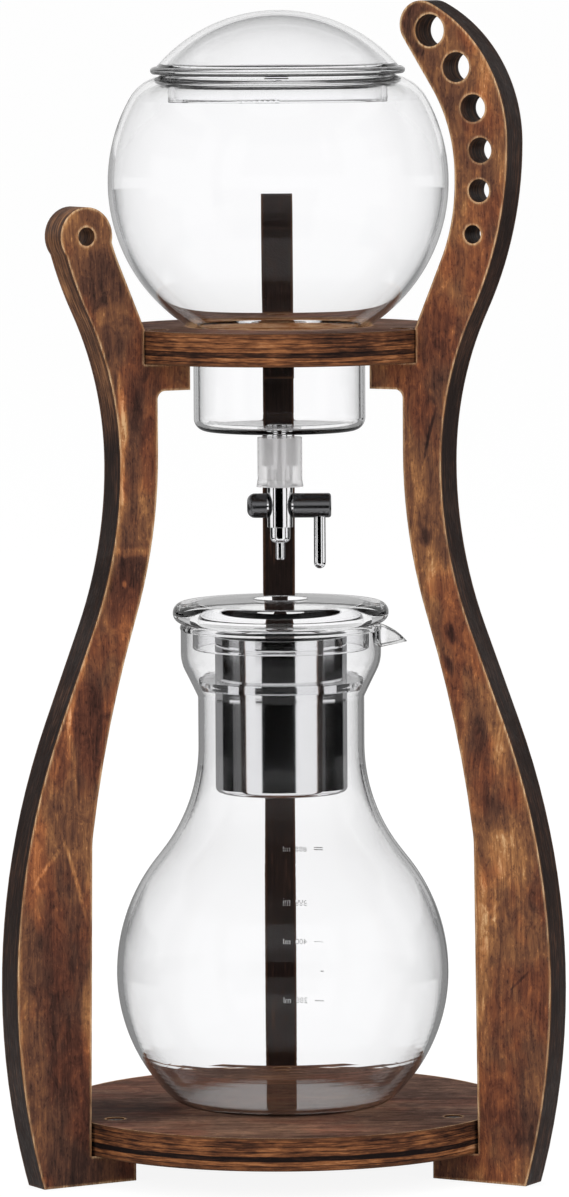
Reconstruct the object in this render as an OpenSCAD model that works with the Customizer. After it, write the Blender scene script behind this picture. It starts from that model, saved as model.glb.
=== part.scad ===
// Cold drip coffee tower. A glass globe of water hangs in a three legged wooden stand.
// Its valve drips through the lid of a glass flask onto a steel filter cup of ground coffee.
// Millimetres, +Z up, front towards -Y, origin on the table at the centre of the tower's box.

/* [Boards] */
// Thickness of the boards of the legs, the base and the shelf
board_t = 11.5; // [10:0.5:13]
// Radius of the round base board
base_r = 80; // [77:0.5:82]
// Height of the feet below the base board
foot_h = 10; // [8:0.5:13]
// How far each foot reaches in under the base board
foot_tab = 16.5; // [14:0.5:19]
// Radius of the round shelf
shelf_r = 57.5; // [55:0.5:60]
// Height of the underside of the shelf
shelf_z = 286.5; // [284:0.5:289]
// How far each leg's bracket reaches in under the shelf
shelf_tab = 18; // [15:0.5:20]
// Thickness of the bracket under the shelf
tab_t = 9.5; // [8:0.5:12]

/* [Legs] */
// Height of the waist, where the legs come nearest to the axis
waist_z = 251.5; // [249:0.5:255]
// Reach of the outer edge from the axis at the waist
waist_out = 67.7; // [66:0.1:70]
// Reach of the inner edge from the axis at the waist
waist_in = 52.6; // [50:0.1:54]
// Reach of the inner edge at the shoulder
shoulder_in = 73.4; // [72:0.1:75]
// Height of the inner edge's shoulder
shoulder_z = 352; // [349:0.5:354]
// Height of the centre of the rounded end of a short leg
short_z = 331.5; // [326:0.5:334]
// Diameter of the hole near the end of a short leg
peg_d = 6.4; // [5:0.1:8]
// Number of holes along the tall leg's hook
hook_holes = 5; // [3:1:5]
// Diameter of the largest of them
hook_hole_d = 11.2; // [9:0.1:12]
// How much smaller each next hole is
hook_hole_step = 0.8; // [0.2:0.1:1]

/* [Screws] */
// Shank diameter of the wood screws
screw_d = 3.2; // [2.5:0.1:4]
// Length of the wood screws
screw_l = 18; // [15:0.5:19]
// Distance from the base board's rim to its screws
base_screw_in = 11.5; // [9:0.5:13]
// Distance from the shelf's rim to its screws
shelf_screw_in = 8.5; // [7:0.5:10]

/* [Globe] */
// Outer radius of the globe
globe_r = 60; // [58:0.5:61]
// Thickness of the glass
glass_t = 2; // [1.6:0.1:2.4]
// Outer radius of the globe's straight neck
neck_r = 30.3; // [28:0.1:31]
// How far the neck reaches down from the top of the shelf
neck_l = 37; // [32:0.5:38]
// Radius of the globe's mouth
mouth_r = 39.6; // [38:0.1:41]
// Radius of the rounding between the globe and its mouth
mouth_round = 16; // [15:0.5:17]
// Outer radius of the outlet pipe under the neck
pipe_r = 4.5; // [4:0.1:5]
// Length of the outlet pipe
pipe_l = 12; // [10:0.5:13]

/* [Globe lid] */
// Radius of the lid's rim
lid_r = 44.8; // [44:0.1:46]
// Radius of the lid's domed top
lid_dome_r = 56; // [54:1:60]
// Outer radius of the skirt that drops into the mouth
lid_skirt_r = 38.6; // [37:0.1:39.2]
// Depth of the skirt below the rim
lid_skirt_l = 9.5; // [7:0.5:12]

/* [Valve] */
// Outer radius of the silicone sleeve
sleeve_r = 7.9; // [7:0.1:8.5]
// Length of the silicone sleeve
sleeve_l = 17.4; // [16:0.1:19]
// Radius of the upright valve body
valve_r = 4.5; // [4.4:0.1:5.2]
// Height of the valve body below the sleeve
valve_l = 14.4; // [12.5:0.1:15]
// Radius of the plug that turns in the valve body
plug_r = 2.5; // [2:0.1:2.8]
// Radius of the knob and of the end cap
knob_r = 4.35; // [4:0.05:4.6]
// Length of the knob
knob_l = 13.4; // [12:0.1:15]
// Length of the end cap
cap_l = 7; // [6:0.1:8]
// Radius of the lever rod
lever_r = 2.1; // [1.6:0.1:2.4]
// Length of the lever below the valve's axis
lever_l = 22.4; // [20:0.2:23]
// Radius of the nozzle under the valve body
nozzle_r = 3.5; // [3.4:0.1:4.2]
// Length of the nozzle
nozzle_l = 5.5; // [5:0.1:7]
// Radius of the drip tip
tip_r = 1.6; // [1.4:0.1:2]
// Length of the drip tip
tip_l = 6.1; // [5:0.1:6.6]

/* [Flask] */
// Outer radius of the flask's neck
flask_neck_r = 29.4; // [28.9:0.1:30]
// Height of the flask from the base board to its rim
flask_h = 171; // [168:0.5:173]
// Radius of the hollow curve between the neck and the bulb
flask_hollow = 61; // [59:0.5:63]
// Radius of the bulb's curve above its widest place
bulb_up = 65; // [63:0.5:66]
// Radius of the bulb's curve below its widest place
bulb_down = 61; // [60:0.5:62]
// How far the spout's tip lies from the flask's axis
spout_reach = 44.7; // [43:0.1:46]

/* [Flask lid] */
// Radius of the lid's rim
cover_r = 38.2; // [37.4:0.1:39]
// Height of the lid's round rim
cover_rim_h = 7.4; // [6.4:0.1:8]
// Radius of the curve of the lid's top
cover_dome_r = 420; // [360:10:500]
// Thickness of the lid's top
cover_t = 3.4; // [2.8:0.1:4]
// Radius of the drip hole
cover_hole_r = 9.6; // [8:0.1:11]
// Outer radius of the skirt that locates the lid
cover_skirt_r = 31.2; // [30:0.1:32]
// Depth of the skirt below the flask's rim
cover_skirt_l = 8.8; // [7:0.1:10]

/* [Filter] */
// Outer radius of the filter cup
cup_r = 23.35; // [22:0.05:24]
// Thickness of the cup's wall
cup_t = 0.8; // [0.6:0.1:1.2]
// Height of the cup
cup_h = 55.6; // [52:0.2:56]
// How far the cup stands up out of its gasket
cup_up = 18.4; // [17:0.2:19]
// Outer radius of the gasket
gasket_r = 29.2; // [28.8:0.1:29.4]
// Thickness of the gasket
gasket_t = 3.2; // [2.5:0.1:4]
// Holes along each half of the strainer
strainer_rows = 5; // [3:1:6]

/* [Clearances] */
// Gap under a piece that rests on another
rest_gap = 0.3; // [0.2:0.05:0.4]
// Radial clearance of a piece that is pressed or screwed in
fit_gap = 0.03; // [0.02:0.01:0.05]
// Radial clearance of the plug in the valve body
run_gap = 0.08; // [0.05:0.01:0.1]

/* [Hidden] */
$fn = 96;
// Largest turn between two points of a drawn curve, in degrees
arc_step = 2;
// Directions of the legs about the axis
az_left = 210;
az_rear = 90;
az_tall = 330;
// Colours
wood = [0.36, 0.2, 0.11];
wood_dark = [0.2, 0.12, 0.08];
glass = [0.82, 0.9, 0.92, 0.35];
silicone = [0.92, 0.92, 0.9, 0.8];
steel = [0.7, 0.71, 0.72];
screw_steel = [0.25, 0.25, 0.26];
seal_black = [0.1, 0.1, 0.1];

// Heights of the stand
base_top = foot_h + board_t;
shelf_top = shelf_z + board_t;
shelf_hole_r = neck_r + 2.5;

// A leg's outer edge: hollow at the waist, then the belly and the foot
outer_down = [[151, 22.1], [0, 35.3], [246, -22.1], [247, -19]];
outer_up = [[119, -26.5], [131.5, 26.5]];
inner_down = [[181, 18.6], [415, -10.6], [40, -7.3], [0, 130]];
inner_up = [[0, 3], [67, -23.4], [0, 38.5]];
bracket_fillet = 3;
shoulder_r = 53.5;
// The shoulder of the outer edge, worked out from the two arcs above the waist
shoulder_turn = outer_up[1][1];
shoulder_sum = outer_up[0][0] + outer_up[1][0];
shoulder_c = [
    waist_out + shoulder_sum * (1 - cos(shoulder_turn)) - shoulder_r,
    waist_z + shoulder_sum * sin(shoulder_turn)
];
hook_end_r = 8.3;
hook_end_a = 64;
hook_end = shoulder_c + (shoulder_r - hook_end_r) * [cos(hook_end_a), sin(hook_end_a)];
// The hook's inner edge: an arc, then a straight run that just touches the rounded end
hook_in_r = 55.6;
hook_in_c = [shoulder_in - hook_in_r, shoulder_z];
hook_gap = hook_end - hook_in_c;
hook_lean = atan2(hook_gap[1], hook_gap[0]) - acos(min(1, (hook_in_r + hook_end_r) / norm(hook_gap)));
// The holes lie on a ring of their own, with equal bridges of wood between them
hole_ring_c = [20.2, shoulder_z + 3.8];
hole_ring_r = 63.4;
hole_first_a = 46.6;
hole_bridge = 5.6;
short_end_r = 10.2;
short_end_x = 80.4;
// The furthest reach of a leg, which sets the length of the tower's box
belly_turn = outer_down[0][1];
belly_sum = outer_down[0][0] + outer_down[2][0];
leg_reach = waist_out + belly_sum * (1 - cos(belly_turn)) + outer_down[1][1] * sin(belly_turn);
axis_y = -(leg_reach - base_r) / 2;

// Screws
screw_head_r = screw_d;
screw_head_h = screw_d * 0.75;
screw_sink = 0.5;

// Globe: it rests on the upper edge of the shelf's hole
globe_z = shelf_top + sqrt(globe_r * globe_r - shelf_hole_r * shelf_hole_r) + rest_gap;
neck_bottom = shelf_top - neck_l;
neck_corner = 4.5;
mouth_a = 29.5;
mouth_c = (globe_r - mouth_round) * [cos(mouth_a), sin(mouth_a)];
mouth_z = globe_z + mouth_c[1] + mouth_round;
lip_r = 1.35;

// Globe lid
lid_z = mouth_z + rest_gap;
lid_rim_t = 2.6;
lid_t = 2;
lid_dome_z = lid_z + lid_rim_t - sqrt(lid_dome_r * lid_dome_r - pow(lid_r - 2.6, 2)) + 0.6;

// Valve stack, from the sleeve down
sleeve_top = neck_bottom - 2.4;
sleeve_bottom = sleeve_top - sleeve_l;
sleeve_grip = neck_bottom - pipe_l - 0.5;
spigot_r = 3.2;
spigot_l = 6;
valve_top = sleeve_bottom;
valve_bottom = valve_top - valve_l;
spindle_z = valve_top - 6.8;
water_r = 1.2;
plug_bore_r = plug_r + run_gap;
side_gap = 0.15;
thread_r = 2;
nozzle_bottom = valve_bottom - nozzle_l;
tip_bottom = nozzle_bottom - tip_l;
tip_bore_r = 0.7;
lever_x = valve_r + side_gap + 9.3;
seal_x = 3.4;
seal_w = 0.5;

// Flask
flask_z = base_top + 0.1;
rim_z = flask_z + flask_h;
collar_z = rim_z - 26.5;
rim_bead = 1.3;
flask_turn = 38;
flask_slope_l = 4.5;
bulb_turn = 46;
flask_foot_r = 11;
flask_drop = flask_hollow * sin(flask_turn) + flask_slope_l * cos(flask_turn)
    + bulb_up * sin(flask_turn) + bulb_down * sin(bulb_turn) + flask_foot_r * (1 - sin(bulb_turn));
flask_curve = [
    [0, collar_z - flask_z - flask_drop],
    [flask_hollow, flask_turn],
    [0, flask_slope_l],
    [bulb_up, -flask_turn],
    [bulb_down, -bulb_turn],
    [flask_foot_r, bulb_turn - 90]
];
collar_turn = 26;
collar_curve = [[3, -collar_turn], [0, 9.8], [14, collar_turn], [0, 40]];
// The spout: a tapered channel that leans down from its root inside the rim
spout_root = 24;
spout_z = rim_z - 2.4;
spout_tilt = 9.3;
spout_l = (spout_reach - spout_root) / cos(spout_tilt);
spout_r = 9.1;
spout_tip_r = 0.9;
spout_t = 1.6;
spout_lip_x = 30.5;
spout_lip_r = 18.5;

// Flask lid
cover_z = rim_z + rest_gap;
cover_round = cover_rim_h / 2;
cover_rise = sqrt(cover_dome_r * cover_dome_r - pow(cover_r - cover_round, 2));
cover_c = cover_z + cover_rim_h - cover_rise;
cover_skirt_t = 1.8;
cover_skirt_in = cover_skirt_r - cover_skirt_t;

// Filter
gasket_z = collar_z + 3.85;
cup_top = gasket_z + cup_up;
cup_bottom = cup_top - cup_h;
cup_corner = 2;
strainer_r = 0.75;
strainer_pitch = 3.6;
strainer_t = 0.6;
cup_floor_r = cup_r - 4;

// The last item of a list, and a list in reverse order
function last(v) = v[len(v) - 1];
function back(v) = [for (i = [len(v) - 1:-1:0]) v[i]];
// Points of an arc of radius r that starts at p with heading h and turns by s degrees
function arc(p, h, r, s) =
    let (side = s > 0 ? 1 : -1, n = ceil(abs(s) / arc_step), c = p + side * r * [-sin(h), cos(h)])
    [for (i = [1:n]) c + side * r * [sin(h + s * i / n), -cos(h + s * i / n)]];
// One move: a straight run when its radius is 0, and otherwise an arc
function move(p, h, m, d) =
    m[0] == 0 ? [p + m[1] * [cos(h), sin(h)]] : arc(p, h, m[0] + (m[1] > 0 ? d : -d), m[1]);
// A chain of tangent moves from p, drawn d to the right of the named radii
function path(p, h, moves, d = 0, k = 0) =
    k == len(moves) ? [p] :
    let (q = move(p, h, moves[k], d))
    concat([p], [for (i = [0:1:len(q) - 2]) q[i]],
        path(last(q), h + (moves[k][0] == 0 ? 0 : moves[k][1]), moves, d, k + 1));

// Places a piece on the tower's axis, turned about it
module on_axis(az = 0) {
    translate([0, axis_y, 0]) rotate([0, 0, az]) children();
}

// Cuts a drawing at the table
module above_table(top) {
    intersection() {
        children();
        square([150, top]);
    }
}

// The S shaped board between its two edges, up to the shoulder
module leg_curve() {
    outer = concat(
        back(path([waist_out, waist_z], -90, outer_down)),
        path([waist_out, waist_z], 90, outer_up)
    );
    inner = concat(
        path([shoulder_in, shoulder_z], -90, inner_up),
        path([waist_in, waist_z + 4], -90, inner_down)
    );
    polygon(concat(outer, inner));
}

// The bracket under the shelf and the foot under the base board
module leg_tabs() {
    translate([shelf_r - shelf_tab, shelf_z - tab_t]) square([shelf_tab + 6, tab_t]);
    translate([base_r - foot_tab, 0]) square([foot_tab + 10, foot_h]);
}

// The rounded corner between the bracket's underside and the leg's inner edge
module leg_fillet() {
    translate([waist_in, shelf_z - tab_t]) difference() {
        translate([-bracket_fillet, -bracket_fillet]) square(bracket_fillet + 1);
        translate([-bracket_fillet, -bracket_fillet]) circle(bracket_fillet);
    }
}

// The notches that hold the shelf and the base board
module leg_notches() {
    translate([0, shelf_z]) square([shelf_r + rest_gap, board_t]);
    translate([0, foot_h]) square([base_r + rest_gap, board_t]);
}

// Outline of a short leg, with its rounded end
module short_outline() {
    difference() {
        union() {
            above_table(short_z) leg_curve();
            leg_tabs();
            leg_fillet();
            translate([short_end_x, short_z]) circle(short_end_r);
        }
        leg_notches();
        translate([short_end_x, short_z]) circle(d = peg_d);
    }
}

// Outline of the tall leg, whose hook leans in over the globe
module tall_outline() {
    inner = path([shoulder_in, shoulder_z], 90, [[hook_in_r, hook_lean]]);
    hook_touch = hook_end - hook_end_r * [cos(hook_lean), sin(hook_lean)];
    hook_arc = path([shoulder_c[0] + shoulder_r, shoulder_c[1]], 90, [[shoulder_r, hook_end_a]]);
    difference() {
        union() {
            above_table(shoulder_c[1]) leg_curve();
            leg_tabs();
            leg_fillet();
            polygon(concat(hook_arc, [hook_end, hook_touch], back(inner)));
            translate(hook_end) circle(hook_end_r);
        }
        leg_notches();
        translate([short_end_x, short_z]) circle(d = peg_d);
        for (i = [0:hook_holes - 1]) {
            along = i * (hook_hole_d + hole_bridge) - hook_hole_step * i * i / 2;
            a = hole_first_a - along / hole_ring_r * 180 / PI;
            translate(hole_ring_c + hole_ring_r * [cos(a), sin(a)])
                circle(d = hook_hole_d - i * hook_hole_step);
        }
    }
}

// A leg board stood upright along its direction, with pilot holes for its two screws
module leg(az) {
    on_axis(az) difference() {
        rotate([90, 0, 0]) linear_extrude(board_t, center = true) children();
        translate([base_r - base_screw_in, 0, base_top - screw_sink]) screw(fit_gap);
        translate([shelf_r - shelf_screw_in, 0, shelf_top - screw_sink]) screw(fit_gap);
    }
}

// A countersunk wood screw with its head up, or the hole for it
module screw(gap = 0) {
    translate([0, 0, -screw_head_h])
        cylinder(h = screw_head_h, r1 = screw_d / 2 + gap, r2 = screw_head_r + gap);
    translate([0, 0, 3 - screw_l]) cylinder(h = screw_l - 3, r = screw_d / 2 + gap);
    translate([0, 0, -screw_l - gap]) cylinder(h = 3 + gap, r1 = 0.3 + gap, r2 = screw_d / 2 + gap);
}

// The open countersink above a sunk screw head
module countersink() {
    translate([0, 0, -0.01]) cylinder(h = screw_sink + 0.02, r = screw_head_r + fit_gap);
}

// A screw with a cross recess in its head
module cross_screw() {
    difference() {
        screw();
        for (a = [0, 90]) {
            rotate([0, 0, a]) translate([0, 0, -0.4]) cube([3.6, 0.7, 1.2], center = true);
        }
    }
}

module leg_left() {
    color(wood) leg(az_left) short_outline();
}

module leg_rear() {
    color(wood_dark) leg(az_rear) short_outline();
}

module leg_tall() {
    color(wood) leg(az_tall) tall_outline();
}

module base_board() {
    color(wood_dark) on_axis() difference() {
        translate([0, 0, foot_h]) cylinder(h = board_t, r = base_r);
        for (az = [az_left, az_rear, az_tall]) {
            rotate([0, 0, az]) translate([base_r - base_screw_in, 0, base_top - screw_sink]) {
                screw(fit_gap);
                countersink();
            }
        }
    }
}

module shelf_ring() {
    color(wood_dark) on_axis() difference() {
        translate([0, 0, shelf_z]) cylinder(h = board_t, r = shelf_r);
        translate([0, 0, shelf_z - 1]) cylinder(h = board_t + 2, r = shelf_hole_r);
        for (az = [az_left, az_rear, az_tall]) {
            rotate([0, 0, az]) translate([shelf_r - shelf_screw_in, 0, shelf_top - screw_sink]) {
                screw(fit_gap);
                countersink();
            }
        }
    }
}

module base_screws() {
    color(screw_steel) on_axis() for (az = [az_left, az_rear, az_tall]) {
        rotate([0, 0, az]) translate([base_r - base_screw_in, 0, base_top - screw_sink]) cross_screw();
    }
}

module shelf_screws() {
    color(screw_steel) on_axis() for (az = [az_left, az_rear, az_tall]) {
        rotate([0, 0, az]) translate([shelf_r - shelf_screw_in, 0, shelf_top - screw_sink])
            cross_screw();
    }
}

// Half section of the globe and its neck, shrunk by t all round
module globe_section(t) {
    translate([0, globe_z]) intersection() {
        circle(globe_r - t);
        translate([0, -globe_r]) square([globe_r, globe_r + (globe_r - t) * sin(mouth_a)]);
    }
    translate([mouth_c[0], globe_z + mouth_c[1]]) circle(mouth_round - t);
    translate([0, globe_z]) square([mouth_c[0], mouth_c[1] + mouth_round - t]);
    translate([0, neck_bottom + neck_corner]) square([neck_r - t, globe_z - neck_bottom]);
    translate([0, neck_bottom + t]) square([neck_r - neck_corner, neck_corner]);
    translate([neck_r - neck_corner, neck_bottom + neck_corner]) circle(neck_corner - t);
}

module globe() {
    color(glass) on_axis() difference() {
        rotate_extrude() {
            difference() {
                globe_section(0);
                globe_section(glass_t);
                translate([0, globe_z + 10]) square([mouth_r, globe_r]);
            }
            translate([mouth_r + lip_r, mouth_z - lip_r]) circle(lip_r);
            translate([0, neck_bottom - pipe_l]) square([pipe_r, pipe_l + glass_t / 2]);
        }
        translate([0, 0, neck_bottom - pipe_l - 1]) cylinder(h = pipe_l + glass_t + 2, r = pipe_r / 2);
    }
}

module globe_lid() {
    color(glass) on_axis() rotate_extrude() {
        difference() {
            translate([0, lid_dome_z]) circle(lid_dome_r);
            translate([0, lid_dome_z]) circle(lid_dome_r - lid_t);
            translate([-100, lid_z - 200]) square([200, 200 + lid_rim_t / 2]);
            translate([-100, lid_z]) square([100, 100]);
        }
        translate([lid_skirt_r - lid_t, lid_z]) square([lid_r - lid_rim_t / 2 - lid_skirt_r + lid_t, lid_rim_t]);
        translate([lid_r - lid_rim_t / 2, lid_z + lid_rim_t / 2]) circle(lid_rim_t / 2);
        translate([lid_skirt_r - lid_t, lid_z - lid_skirt_l + lid_t / 2])
            square([lid_t, lid_skirt_l]);
        translate([lid_skirt_r - lid_t / 2, lid_z - lid_skirt_l + lid_t / 2]) circle(lid_t / 2);
    }
}

module silicone_sleeve() {
    color(silicone) on_axis() difference() {
        union() {
            translate([0, 0, sleeve_bottom]) cylinder(h = sleeve_l, r = sleeve_r);
            translate([0, 0, sleeve_bottom]) cylinder(h = 2.5, r1 = sleeve_r + 0.4, r2 = sleeve_r);
        }
        translate([0, 0, sleeve_grip]) cylinder(h = sleeve_l, r = pipe_r + fit_gap);
        translate([0, 0, sleeve_bottom - 1]) cylinder(h = sleeve_l, r = spigot_r + fit_gap);
    }
}

// A cylinder of radius r along X, from x0 to x1 at the height of the valve's axis
module along_x(x0, x1, r) {
    translate([x0, 0, spindle_z]) rotate([0, 90, 0]) cylinder(h = x1 - x0, r = r);
}

module valve_body() {
    color(steel) on_axis() difference() {
        union() {
            translate([0, 0, valve_bottom]) cylinder(h = valve_l, r = valve_r);
            translate([0, 0, valve_top - 1]) cylinder(h = spigot_l + 1, r = spigot_r);
        }
        translate([0, 0, valve_bottom - 1]) cylinder(h = valve_l + spigot_l + 2, r = water_r);
        translate([0, 0, valve_bottom - 1]) cylinder(h = 3.6, r = thread_r + fit_gap);
        along_x(-valve_r - 1, valve_r + 1, plug_bore_r);
    }
}

module valve_nozzle() {
    color(steel) on_axis() rotate_extrude() difference() {
        union() {
            translate([0, nozzle_bottom + 1.8]) square([nozzle_r, nozzle_l - 1.8]);
            translate([0, nozzle_bottom]) square([nozzle_r - 1.8, 2]);
            translate([nozzle_r - 1.8, nozzle_bottom + 1.8]) circle(1.8);
            translate([0, valve_bottom - 1]) square([thread_r, 3.4]);
        }
        translate([-10, nozzle_bottom - 1]) square([10 + tip_bore_r, 20]);
        translate([-10, nozzle_bottom - 1]) square([10 + tip_r - 0.3 + fit_gap, 4.1]);
    }
}

module drip_tip() {
    color(steel) on_axis() rotate_extrude() {
        translate([tip_bore_r, nozzle_bottom]) square([tip_r - 0.3 - tip_bore_r, 3]);
        polygon([
            [tip_bore_r, tip_bottom],
            [tip_r - 0.4, tip_bottom],
            [tip_r, tip_bottom + 0.6],
            [tip_r, nozzle_bottom],
            [tip_bore_r, nozzle_bottom]
        ]);
    }
}

module valve_plug() {
    color(steel) on_axis() difference() {
        along_x(-valve_r - cap_l + 2.4, lever_x - lever_r - 0.8, plug_r);
        translate([0, 0, spindle_z - 5]) cylinder(h = 10, r = water_r);
        for (x = [-seal_x, seal_x]) {
            difference() {
                along_x(x - seal_w - 0.1, x + seal_w + 0.1, plug_r + 1);
                along_x(x - 2, x + 2, plug_r - 0.95);
            }
        }
    }
}

module plug_seals() {
    color(seal_black) on_axis() for (x = [-seal_x, seal_x]) {
        translate([x, 0, spindle_z]) rotate([0, 90, 0]) rotate_extrude()
            translate([plug_bore_r - 0.02 - seal_w, 0]) circle(seal_w);
    }
}

// Half section of a turned end piece: length l, radius r, rounded by c at its outer end
module turned(l, r, c) {
    square([r, l - c]);
    square([r - c, l]);
    intersection() {
        translate([r - c, l - c]) circle(c);
        square([r, l]);
    }
}

module valve_knob() {
    color(steel) on_axis() difference() {
        translate([valve_r + side_gap, 0, spindle_z]) rotate([0, 90, 0])
            rotate_extrude() turned(knob_l, knob_r, 1);
        along_x(valve_r, lever_x - lever_r - 0.7, plug_r + fit_gap);
        translate([lever_x, 0, spindle_z - 10]) cylinder(h = 12, r = lever_r + fit_gap);
    }
}

module valve_lever() {
    color(steel) on_axis() translate([lever_x, 0, spindle_z]) {
        translate([0, 0, lever_r - lever_l]) cylinder(h = lever_l - lever_r + 1.9, r = lever_r);
        translate([0, 0, lever_r - lever_l]) sphere(lever_r);
    }
}

module valve_end_cap() {
    color(steel) on_axis() difference() {
        translate([-valve_r - side_gap, 0, spindle_z]) rotate([0, -90, 0])
            rotate_extrude() turned(cap_l, knob_r, 2.8);
        along_x(-valve_r - cap_l + 2.3, -valve_r, plug_r + fit_gap);
    }
}

// Half section of the flask, from its neck down to its foot, t inside the outer face
module flask_outline(t) {
    low = path([flask_neck_r - t, collar_z], -90, flask_curve, t);
    high = path([flask_neck_r - t, collar_z], 90, collar_curve, -t);
    above_flask(t) polygon(concat(
        [[0, last(high)[1]]], back(high), low, [[0, last(low)[1]]]
    ));
}

// Cuts the flask's drawing at its rim, and its inner drawing above its floor
module above_flask(t) {
    intersection() {
        children();
        translate([0, flask_z + t]) square([80, flask_h - t + (t > 0 ? 10 : -rim_bead)]);
    }
}

// The pouring spout's channel, t inside its outer face: a round bottom below upright sides
module spout_channel(t, tip_r) {
    half = spout_r - t;
    run = spout_l - t;
    translate([spout_root, 0, spout_z]) rotate([0, spout_tilt, 0]) {
        rotate([0, 90, 0]) cylinder(h = run, r1 = half, r2 = tip_r);
        linear_extrude(20) polygon([[0, -half], [run, -tip_r], [run, tip_r], [0, half]]);
    }
}

// The spout, solid, with its two lips curving down to the tip
module spout() {
    difference() {
        intersection() {
            spout_channel(0, spout_tip_r);
            translate([spout_lip_x, 0, rim_z - spout_lip_r]) rotate([90, 0, 0])
                cylinder(h = 60, r = spout_lip_r, center = true);
        }
        translate([0, 0, rim_z - 60]) cylinder(h = 80, r = 34.5);
    }
}

module flask() {
    color(glass) on_axis() difference() {
        union() {
            rotate_extrude() {
                difference() {
                    flask_outline(0);
                    flask_outline(glass_t);
                }
                translate([last(path([flask_neck_r, collar_z], 90, collar_curve))[0] - glass_t / 2,
                    rim_z - rim_bead]) circle(rim_bead);
            }
            spout();
        }
        spout_channel(spout_t, 0.4);
    }
}

module flask_lid() {
    color(glass) on_axis() rotate_extrude() difference() {
        union() {
            intersection() {
                translate([0, cover_c]) circle(cover_dome_r);
                translate([0, cover_z]) square([cover_r - cover_round, 4 * cover_rim_h]);
            }
            translate([cover_r - cover_round, cover_z + cover_round]) circle(cover_round);
            translate([cover_skirt_in, rim_z - cover_skirt_l + cover_skirt_t / 2])
                square([cover_skirt_t, cover_skirt_l]);
            translate([cover_skirt_in + cover_skirt_t / 2, rim_z - cover_skirt_l + cover_skirt_t / 2])
                circle(cover_skirt_t / 2);
        }
        intersection() {
            translate([0, cover_c]) circle(cover_dome_r - cover_t);
            square([cover_skirt_in, 2 * rim_z]);
        }
        square([cover_hole_r, 2 * rim_z]);
    }
}

// Half section of the cup, solid, shrunk by t
module cup_section(t) {
    translate([0, cup_bottom + cup_corner]) square([cup_r - t, cup_h - cup_corner]);
    translate([0, cup_bottom + t]) square([cup_r - cup_corner, cup_corner]);
    translate([cup_r - cup_corner, cup_bottom + cup_corner]) circle(cup_corner - t);
}

module filter_cup() {
    color(steel) on_axis() difference() {
        rotate_extrude() difference() {
            cup_section(0);
            cup_section(cup_t);
            translate([0, cup_top - 0.01]) square([cup_r - cup_t, 1]);
            square([cup_floor_r, cup_top]);
        }
    }
}

// The perforated disc that lies on the cup's turned in floor
module filter_strainer() {
    color(steel) on_axis() translate([0, 0, cup_bottom + cup_t + 0.02]) difference() {
        cylinder(h = strainer_t, r = cup_r - cup_corner - 0.3);
        for (i = [-strainer_rows:strainer_rows]) {
            for (j = [-strainer_rows:strainer_rows]) {
                x = (i + j / 2) * strainer_pitch;
                y = j * sqrt(3) / 2 * strainer_pitch;
                if (norm([x, y]) < cup_floor_r - strainer_pitch / 2) {
                    translate([x, y, -1]) cylinder(h = strainer_t + 2, r = strainer_r);
                }
            }
        }
    }
}

module filter_gasket() {
    color(silicone) on_axis() rotate_extrude() polygon([
        [cup_r + fit_gap, gasket_z],
        [gasket_r - gasket_t / 2 * tan(collar_turn), gasket_z],
        [gasket_r, gasket_z + gasket_t / 2],
        [gasket_r, gasket_z + gasket_t],
        [cup_r + fit_gap, gasket_z + gasket_t]
    ]);
}

leg_left();
leg_rear();
leg_tall();
base_board();
shelf_ring();
base_screws();
shelf_screws();
globe();
globe_lid();
silicone_sleeve();
valve_body();
valve_nozzle();
drip_tip();
valve_plug();
plug_seals();
valve_knob();
valve_lever();
valve_end_cap();
flask();
flask_lid();
filter_cup();
filter_strainer();
filter_gasket();
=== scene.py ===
import math

import bpy
from mathutils import Matrix, Vector
from mathutils.bvhtree import BVHTree


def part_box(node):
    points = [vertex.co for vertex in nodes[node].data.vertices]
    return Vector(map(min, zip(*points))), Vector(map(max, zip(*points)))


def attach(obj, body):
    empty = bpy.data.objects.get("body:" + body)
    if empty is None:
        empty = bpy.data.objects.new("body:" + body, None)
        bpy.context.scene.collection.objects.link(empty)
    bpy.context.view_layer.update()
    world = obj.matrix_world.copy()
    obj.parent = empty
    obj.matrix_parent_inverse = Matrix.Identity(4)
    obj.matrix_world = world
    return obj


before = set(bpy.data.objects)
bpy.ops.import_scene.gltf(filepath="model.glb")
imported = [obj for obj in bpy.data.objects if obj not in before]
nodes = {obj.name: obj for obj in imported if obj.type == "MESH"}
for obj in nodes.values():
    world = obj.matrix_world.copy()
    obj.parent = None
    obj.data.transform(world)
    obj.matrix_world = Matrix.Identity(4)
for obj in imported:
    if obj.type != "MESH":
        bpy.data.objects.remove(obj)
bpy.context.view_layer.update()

MM = 0.001
WHITE = (1, 1, 1, 1)

# The tower's axis: the globe's box is centred on it
low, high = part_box("globe")
AXIS = Vector(((low.x + high.x) / 2, (low.y + high.y) / 2, 0))


def grey(level):
    return (level, level, level, 1)


def srgb(r, g, b):
    """A colour given in 0 to 255 steps, as the shader's own linear values."""
    c = [x / 255 for x in (r, g, b)]
    return tuple(x / 12.92 if x < 0.04045 else ((x + 0.055) / 1.055) ** 2.4 for x in c) + (1.0,)


def add_object(name, data):
    thing = bpy.data.objects.new(name, data)
    bpy.context.scene.collection.objects.link(thing)
    return thing


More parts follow.
